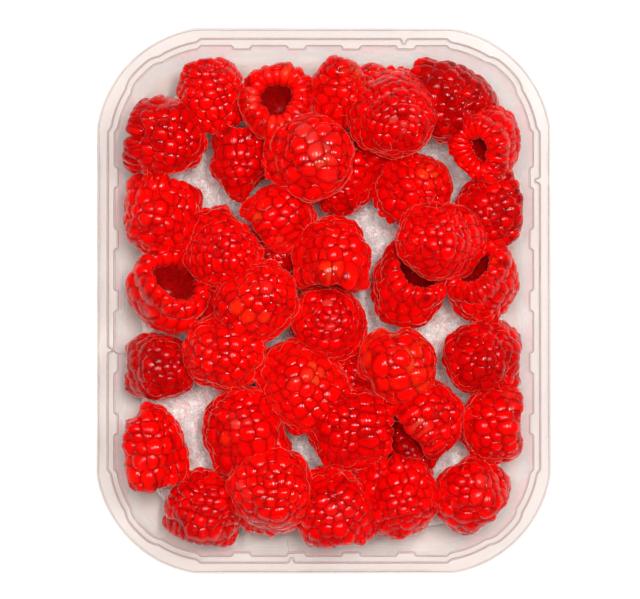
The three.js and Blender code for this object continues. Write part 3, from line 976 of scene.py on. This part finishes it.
def make_thimble(berry, phase):
    bm = bmesh.new()
    half = berry.width / 2
    inner = [
        Vector((share * berry.mouth * half, 0, (height - 0.5) * berry.length))
        for height, share in HOLLOW
    ]
    lip = lip_of(berry)
    crest = Vector((lip.radius, 0, lip.height + THIMBLE_INSET))
    outer = [
        Vector((w.radius - w.out * THIMBLE_INSET, 0, w.height - w.up * THIMBLE_INSET))
        for w in whorls_of(berry)
    ]
    outer[-1].x = 0
    chain = [bm.verts.new(point) for point in (*inner, crest, *outer)]
    edges = [bm.edges.new(pair) for pair in zip(chain, chain[1:])]
    bmesh.ops.spin(
        bm, geom=chain + edges, axis=(0, 0, 1), cent=(0, 0, 0), dvec=(0, 0, 0),
        angle=math.tau, steps=THIMBLE_SIDES, use_merge=True,
    )
    close_seams(bm, MERGE_REACH)
    flesh = bm.verts.layers.float.new("flesh")
    streak = bm.verts.layers.float.new("streak")
    paleness = [random.Random(phase + side).random() for side in range(THIMBLE_SIDES)]
    for vertex in bm.verts:
        angle = math.atan2(vertex.co.y, vertex.co.x)
        side = round(angle / math.tau * THIMBLE_SIDES) % THIMBLE_SIDES
        up = (vertex.co.z - lip.height) / berry.length / STREAK_HEIGHT
        vertex[flesh] = 1.0
        vertex[streak] = paleness[side] * (1 - smoothstep(*STREAK_FADE, up))
        swollen = unevenness(angle, phase)
        vertex.co.x *= swollen
        vertex.co.y *= swollen
    return as_mesh(bm, "thimble")


def bead_rows(berry):
    """Every whorl with its number of beads and its half step of turn."""
    drupelet = drupelet_width(berry)
    lip = lip_of(berry)
    rows = [(lip, round(math.tau * lip.radius / (drupelet * LIP_NARROWNESS)), 0.0)]
    for row, whorl in enumerate(whorls_of(berry), 1):
        count = max(round(math.tau * max(whorl.radius, 0.0) / drupelet), 1)
        rows.append((whorl, count, 0.5 * (row % 2)))
    return rows


def beads_of(berry, phase, rng):
    """The frame of each bead: where its ball lies, and how it is turned and stretched."""
    drupelet = drupelet_width(berry)
    beads = []
    for row, (whorl, count, half_step) in enumerate(bead_rows(berry)):
        around = math.tau * max(whorl.radius, 0.0) / count
        for i in range(count):
            uneven = LIP_EVENNESS if row == 0 else 1
            stray = rng.uniform(-BEAD_STRAY, BEAD_STRAY) * uneven
            angle = math.tau * (i + half_step + stray) / count + phase
            outwards = Vector((math.cos(angle), math.sin(angle), 0))
            side = Vector((-math.sin(angle), math.cos(angle), 0))
            normal = outwards * whorl.out + Vector((0, 0, whorl.up))
            along = normal.cross(side)
            size = 1 + rng.uniform(-SIZE_SPREAD, SIZE_SPREAD) * uneven
            least = 0 if row == 0 else drupelet * LEAST_WIDTH
            wide = min(max(around, least), drupelet * MOST_WIDTH) / 2 * BEAD_OVERLAP * size
            long = whorl.long / 2 * BEAD_OVERLAP * size
            radius = whorl.radius * unevenness(angle, phase)
            middle = outwards * radius + Vector((0, 0, whorl.height)) - normal * whorl.tall
            middle += along * whorl.long * rng.uniform(-BEAD_STRAY, BEAD_STRAY) * uneven
            axes = Matrix((side * wide, along * long, normal * whorl.tall * size))
            beads.append(Matrix.Translation(middle) @ axes.transposed().to_4x4())
    return beads


print("beads of the first berry", len(beads_of(BERRIES[0], 0, random.Random(1))))

# %% [markdown]
# Some drupelets glow orange at the crown: partly the orange of a drupelet less ripe than its
# neighbours, partly a painted glow of light that has passed through the juice. A few are
# milky: they hold little juice, and their skin looks pale and dull. Both kinds come in
# patches, which are listed: the berry, the place, how far round it the patch reaches, and how
# orange or how milky it is.

# %% Patches of colour
Patch = namedtuple("Patch", "berry x y reach orange milky")
PATCHES = [Patch(*row) for row in (
    (3, 8.3, 63.0, 4.5, 0.38, 0.0),
    (3, 5.0, 64.5, 3.0, 0.17, 0.0),
    (4, 18.4, 47.0, 1.8, 0.0, 0.39),
    (4, 23.6, 49.5, 1.8, 0.0, 0.44),
    (4, 22.3, 45.6, 1.8, 0.0, 0.33),
    (9, -1.0, 42.5, 4.0, 0.09, 0.39),
    (9, 0.5, 36.5, 5.5, 0.26, 0.11),
    (9, -5.5, 45.0, 3.0, 0.09, 0.28),
    (2, -19.0, 54.5, 3.5, 0.21, 0.28),
    (2, -12.0, 62.5, 4.5, 0.17, 0.11),
    (2, -11.0, 47.5, 5.0, 0.15, 0.06),
    (11, 27.5, 34.5, 5.0, 0.41, 0.0),
    (14, -18.0, 23.0, 4.5, 0.36, 0.0),
    (14, -11.0, 15.0, 4.0, 0.26, 0.11),
    (15, 3.0, 7.5, 6.5, 0.24, 0.0),
    (18, -21.0, -1.0, 4.5, 0.22, 0.0),
    (18, -16.0, -5.0, 3.5, 0.18, 0.04),
    (18, -16.5, 3.0, 2.0, 0.13, 0.22),
    (17, -44.0, 0.0, 6.0, 0.15, 0.0),
    (6, 45.5, 44.0, 5.0, 0.26, 0.0),
    (20, 46.5, 9.0, 5.0, 0.21, 0.0),
    (23, 1.9, 0.0, 1.8, 0.0, 0.33),
    (23, 1.3, -5.3, 1.8, 0.0, 0.33),
    (25, 23.4, -13.5, 2.2, 0.24, 0.08),
    (25, 22.0, -17.5, 2.6, 0.26, 0.04),
    (24, -3.0, -19.5, 4.5, 0.34, 0.06),
    (24, -7.0, -23.5, 3.0, 0.3, 0.06),
    (24, -11.5, -30.7, 1.8, 0.0, 0.39),
    (27, -50.0, -45.0, 4.5, 0.21, 0.0),
    (28, -23.0, -29.1, 1.8, 0.0, 0.39),
    (28, -23.0, -33.2, 1.8, 0.0, 0.39),
    (28, -19.5, -31.3, 2.4, 0.3, 0.06),
    (28, -24.5, -38.5, 5.0, 0.27, 0.0),
    (28, -15.0, -37.0, 4.0, 0.21, 0.0),
    (30, 24.5, -32.5, 2.4, 0.3, 0.17),
    (30, 27.5, -35.5, 2.4, 0.3, 0.11),
    (31, 52.0, -34.0, 4.5, 0.26, 0.0),
    (31, 51.0, -25.5, 3.5, 0.26, 0.11),
    (33, -19.0, -51.9, 2.2, 0.0, 0.44),
    (33, -22.5, -48.7, 1.8, 0.0, 0.33),
    (33, -17.4, -55.5, 2.0, 0.0, 0.33),
    (34, 4.5, -56.5, 3.5, 0.34, 0.06),
    (36, 42.5, -49.5, 3.5, 0.27, 0.17),
    (36, 46.5, -47.0, 3.0, 0.13, 0.06),
)]
PATCH_FADE = (0.5, 1.1)


def patch_at(patches, place):
    """How orange and how milky the skin at a place is."""
    orange, milky = 0.0, 0.0
    for patch in patches:
        share = 1 - smoothstep(*PATCH_FADE, distance_share(place, patch))
        orange = max(orange, patch.orange * share)
        milky = max(milky, patch.milky * share)
    return orange, milky


print("patches", len(PATCHES))

# %% [markdown]
# Now one berry can be put together from its thimble and its beads. Each point carries the
# numbers that the skin's material reads: its tone ("tone") and how milky it is, how far it
# faces up ("flank"), and how far the whole drupelet does, which keeps the painted sheen off
# the drupelets that face up. About half of the drupelets keep their dried style, a fine hair
# on the crown: fewer of those that face up, where it is rubbed off, and none that faces down.
# Here only the roots of the hairs are noted.

# %% Build one berry
FIRST_SEED = 1000
TONE_SPREAD = 0.12
CROWN_GLOW = (0.4, 1.0)
FACING_UP = (0.5, 0.9)
HAIR_SHARE = 0.5
HAIR_SHARE_LOSS = 0.3
HAIR_LOWEST = -0.15
HairRoot = namedtuple("HairRoot", "place outwards")


def make_berry(index, berry, hair_roots):
    rng = random.Random(FIRST_SEED + index)
    phase = index * GOLDEN_ANGLE
    placement = berry_placement(berry)
    patches = [patch for patch in PATCHES if patch.berry == index]
    bm = bmesh.new()
    bm.from_mesh(make_thimble(berry, phase))
    tone, milk, flank, upturned, dome = [
        bm.verts.layers.float.new(name) for name in ("tone", "milk", "flank", "upturned", "dome")
    ]
    settle_thimble(bm.verts, index, placement)
    for vertex in bm.verts:
        vertex[tone] = berry.ripeness
        vertex[upturned] = 1.0
    for bead in beads_of(berry, phase, rng):
        bm.from_mesh(bead_mesh)
        bm.verts.ensure_lookup_table()
        points = bm.verts[-BEAD_POINTS:]
        bmesh.ops.transform(bm, matrix=bead, verts=points)
        settle_bead(points, index, placement)
        crown = max(points, key=lambda vertex: vertex[dome]).co.copy()
        outwards = (placement.to_3x3() @ bead.to_3x3() @ Vector((0, 0, 1))).normalized()
        face_on = smoothstep(*FACING_UP, outwards.z)
        orange, milky = patch_at(patches, crown)
        ripeness = berry.ripeness + rng.uniform(-TONE_SPREAD, TONE_SPREAD)
        for vertex in points:
            glow = smoothstep(*CROWN_GLOW, vertex[dome])
            # Painted glow: the orange of a patch is strongest on each drupelet's crown.
            vertex[tone] = min(ripeness + orange * glow, 1.0)
            vertex[milk] = milky * glow
            # How far the whole drupelet faces up, which keeps the painted sheen off it.
            vertex[upturned] = face_on
        if rng.random() < HAIR_SHARE - HAIR_SHARE_LOSS * face_on and outwards.z > HAIR_LOWEST:
            hair_roots.append(HairRoot(crown, outwards))
    bm.normal_update()
    for vertex in bm.verts:
        vertex[flank] = vertex.normal.z
    return bm


# %% [markdown]
# ## The skin of the fruit
#
# Ripe raspberry skin is a deep, clear red. The number "tone" on each drupelet takes it from
# dark crimson through bright red to the orange of a less ripe one, with a soft mottle, and
# "milk" makes it pale. The sides of each drupelet, low in the furrows, are painted a brighter,
# purer red: painted light that lifts the shade in the furrows and stands for light that has
# passed through more juice there. A painted picture could hold all this, but a rule that reads
# the numbers of each drupelet fits every berry.

# %% Skin colour
SKIN_TONES = (
    (0.0, (0.26, 0.0003, 0.0005)),
    (0.5, (0.78, 0.0006, 0.0006)),
    (0.8, (0.93, 0.0025, 0.0010)),
    (1.0, (0.99, 0.0340, 0.0040)),
)
MILKY_PINK = (0.98, 0.070, 0.055, 1)
# Painted light: the brighter red that lifts the shade low on each drupelet, in the furrows.
FURROW_LIGHT_RED = (1.0, 0.0012, 0.0010, 1)
FURROW_LIGHT_SHARES = ((0.45, 0.6), (0.9, 0))
SKIN_MOTTLE_SCALE = 260.0
SKIN_MOTTLE = 0.24


def skin_colour(tree):
    mottle = object_noise(tree, SKIN_MOTTLE_SCALE)
    shift = calculate(tree, "MULTIPLY_ADD", mottle, SKIN_MOTTLE, -SKIN_MOTTLE / 2)
    tone = calculate(tree, "ADD", point_number(tree, "tone"), shift)
    ripe = ramp(tree, tone, SKIN_TONES)
    milky = mix_colours(tree, point_number(tree, "milk"), ripe, MILKY_PINK)
    furrow_light = grey_ramp(tree, point_number(tree, "dome"), FURROW_LIGHT_SHARES)
    return mix_colours(tree, furrow_light, milky, FURROW_LIGHT_RED)


# %% [markdown]
# The flanks of the outer drupelets carry a thin pale arc: partly the fine down that covers a
# raspberry, partly a painted sheen, the light that the down catches at the edge. The number
# "flank", which is how far the surface faces up, places the arc. It is left off where the
# whole drupelet faces up, "dome" keeps it out of the furrows, and a noise makes it uneven.
# Real fibres this fine would be millions of hairs.

# %% Down and painted sheen on the flanks
# These shares place the pale arc, which is down and painted sheen.
FLANK_SHARES = ((0.0, 0), (0.05, 1), (0.22, 1), (0.34, 0))
UPTURNED_SHARES = ((0.0, 0.8), (0.6, 0))
OUTER_SHARES = ((0.38, 0), (0.60, 1))
ARC_NOISE_SHARES = ((0.38, 0.2), (0.60, 1))
ARC_NOISE_SCALE = 150.0


def down_and_sheen_share(tree):
    share = grey_ramp(tree, point_number(tree, "dome"), OUTER_SHARES)
    for other in (
        grey_ramp(tree, point_number(tree, "upturned"), UPTURNED_SHARES),
        grey_ramp(tree, point_number(tree, "flank"), FLANK_SHARES),
        grey_ramp(tree, object_noise(tree, ARC_NOISE_SCALE), ARC_NOISE_SHARES),
    ):
        share = calculate(tree, "MULTIPLY", share, other)
    return share


# %% [markdown]
# Inside the hollow, which the number "flesh" marks, the fruit is fibrous, with paler fibres
# near the mouth, where "streak" is high. Its dark reds are painted shade, deep in the hollow
# and in the furrows between the drupelets, where the same thimble shows.

# %% Inside the hollow
# Painted shade: the dark reds of the hollow and of the thimble seen between drupelets.
HOLLOW_SHADE_REDS = ((0.35, (0.26, 0.0006, 0.0006)), (0.70, (0.46, 0.003, 0.003)))
FIBRE_PINK = (0.95, 0.26, 0.19, 1)
FIBRE_SHARES = ((0.45, 0), (1.0, 0.75))


def hollow_fibres_and_shade(tree, fibres):
    pale = grey_ramp(tree, point_number(tree, "streak"), FIBRE_SHARES)
    return mix_colours(tree, pale, ramp(tree, fibres, HOLLOW_SHADE_REDS), FIBRE_PINK)


# %% [markdown]
# The whole skin is smooth and wet, and duller where it is milky. Light scatters a little
# inside. A drupelet is a bag of juice, so some light comes out again at its thin flank: a
# faint red emission, a painted glow, in the pale arc of down and painted sheen stands for
# that, and a pink sheen for the down at any edge. Only the flesh of the hollow is bumpy.

# %% Fruit material
# The arc's pale pink is down and painted sheen; its faint red emission is a painted glow.
DOWN_AND_SHEEN_PINK = (1.0, 0.18, 0.13, 1)
NO_GLOW = (0, 0, 0, 1)
JUICE_GLOW = (0.22, 0.020, 0.014, 1)
SKIN_ROUGHNESS = ((0.0, 0.14), (1.0, 0.35))
FIBRE_SCALE = 1100.0
FIBRE_STRENGTH = 0.15
FIBRE_HEIGHT = 0.0008


def make_fruit_skin():
    material, tree, shader = new_material("raspberry skin")
    down_and_sheen = down_and_sheen_share(tree)
    skin_with_sheen_arc = mix_colours(tree, down_and_sheen, skin_colour(tree), DOWN_AND_SHEEN_PINK)
    fibres = object_noise(tree, FIBRE_SCALE, detail=3.0, roughness=0.7)
    inside = point_number(tree, "flesh")
    relief = calculate(tree, "MULTIPLY", fibres, inside)
    set_inputs(tree, shader, {
        "Base Color": mix_colours(tree, inside, skin_with_sheen_arc, hollow_fibres_and_shade(tree, fibres)),
        "Roughness": grey_ramp(tree, point_number(tree, "milk"), SKIN_ROUGHNESS),
        "Emission Color": mix_colours(tree, down_and_sheen, NO_GLOW, JUICE_GLOW),
        "Normal": bump_normal(tree, relief, FIBRE_STRENGTH, FIBRE_HEIGHT),
        "Emission Strength": 1.0,
        "Sheen Weight": 0.6,
        "Sheen Roughness": 0.24,
        "Sheen Tint": (1.0, 0.13, 0.10, 1.0),
        "Specular IOR Level": 0.32,
        "Subsurface Weight": 0.75,
        "Subsurface Radius": (1.0, 0.12, 0.08),
        "Subsurface Scale": 0.0024,
    })
    return material


fruit_skin = make_fruit_skin()
print("material", fruit_skin.name, len(fruit_skin.node_tree.nodes), "nodes")

# %% [markdown]
# The heap is too large for one piece, so the berries are joined in four: each piece stays
# under 200,000 triangles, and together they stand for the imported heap.

# %% Join the berries
BERRIES_PER_PIECE = 11
hair_roots = []
for start in range(0, len(BERRIES), BERRIES_PER_PIECE):
    heap = bmesh.new()
    for index in range(start, min(start + BERRIES_PER_PIECE, len(BERRIES))):
        heap.from_mesh(as_mesh(make_berry(index, BERRIES[index], hair_roots), "one berry"))
    berries = make_piece(f"berries_{start // BERRIES_PER_PIECE + 1}", heap, [fruit_skin])
    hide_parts("raspberries")
print("hair roots", len(hair_roots))

# %% [markdown]
# ## Hairs
#
# A dried style is a pale hair a millimetre or two long, thinner than a pencil line. A bevelled
# curve could draw each, but one small mesh is quicker to repeat: a grid rolled into a tube
# that tapers to a point and bends over. Three bends are enough, since each copy is turned and
# sized at random.

# %% Hairs
HAIR_PROFILE = ((0.0, 0.0), (0.03, 1.0), (0.4, 0.8), (0.75, 0.5), (1.0, 0.0))
HAIR_SIDES = 3
HAIR_THICKNESS = 0.013
HAIR_BENDS = (0.3, 0.7, 1.1)
HAIR_LENGTHS = (1.0, 2.6)
HAIR_LEAN = 1.1
HAIR_MERGE_REACH = 1e-5


def make_hair_mesh(bend):
    bm = bmesh.new()
    rows = len(HAIR_PROFILE) - 1
    bmesh.ops.create_grid(bm, x_segments=HAIR_SIDES, y_segments=rows, size=1)
    for vertex in bm.verts:
        column, row = grid_place(vertex, HAIR_SIDES, rows)
        along, share = HAIR_PROFILE[row]
        angle = math.tau * (column % HAIR_SIDES) / HAIR_SIDES
        radius = HAIR_THICKNESS * share
        vertex.co = (bend * along ** 2 + radius * math.cos(angle), radius * math.sin(angle), along)
    close_seams(bm, HAIR_MERGE_REACH)
    return as_mesh(bm, "hair")


print("bends of a hair", HAIR_BENDS)

# %% [markdown]
# Each hair leans at random from the way its drupelet faces, but never lies flat on it, and its
# foot is sunk a little into the skin. All are joined in one mesh, and kept off the tray.

# %% Place the hairs
HAIR_FLATTEST = 0.1
HAIR_SUNK = 0.1
HAIR_BEND_RISE = 0.3
HAIR_SEED = 7
HAIR_COLOUR = (0.80, 0.34, 0.26, 1)
HAIR_ROUGHNESS = 0.5


def hair_frame(root, rng):
    """A frame at the root whose z runs up the hair and whose x is the way it bends."""
    stray = Vector([rng.uniform(-1, 1) for _ in range(3)])
    up = (root.outwards + stray.normalized() * HAIR_LEAN).normalized()
    if up.dot(root.outwards) < HAIR_FLATTEST:
        up = (up + root.outwards).normalized()
    aside = Vector((rng.uniform(-1, 1), rng.uniform(-1, 1), HAIR_BEND_RISE))
    bend = up.cross(aside).normalized()
    axes = Matrix((bend, up.cross(bend), up)).transposed() * rng.uniform(*HAIR_LENGTHS)
    return Matrix.Translation(root.place - root.outwards * HAIR_SUNK) @ axes.to_4x4()


hair_meshes = [make_hair_mesh(bend) for bend in HAIR_BENDS]
HAIR_POINTS = len(hair_meshes[0].vertices)
hair_rng = random.Random(HAIR_SEED)
styles = bmesh.new()
for root in hair_roots:
    styles.from_mesh(hair_rng.choice(hair_meshes))
    styles.verts.ensure_lookup_table()
    points = styles.verts[-HAIR_POINTS:]
    bmesh.ops.transform(styles, matrix=hair_frame(root, hair_rng), verts=points)
for vertex in styles.verts:
    vertex.co = kept_in_room(vertex.co)

hair_material = plain_material("dried styles", HAIR_COLOUR, HAIR_ROUGHNESS)
hairs = make_piece("hairs", styles, [hair_material])
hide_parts("raspberries")
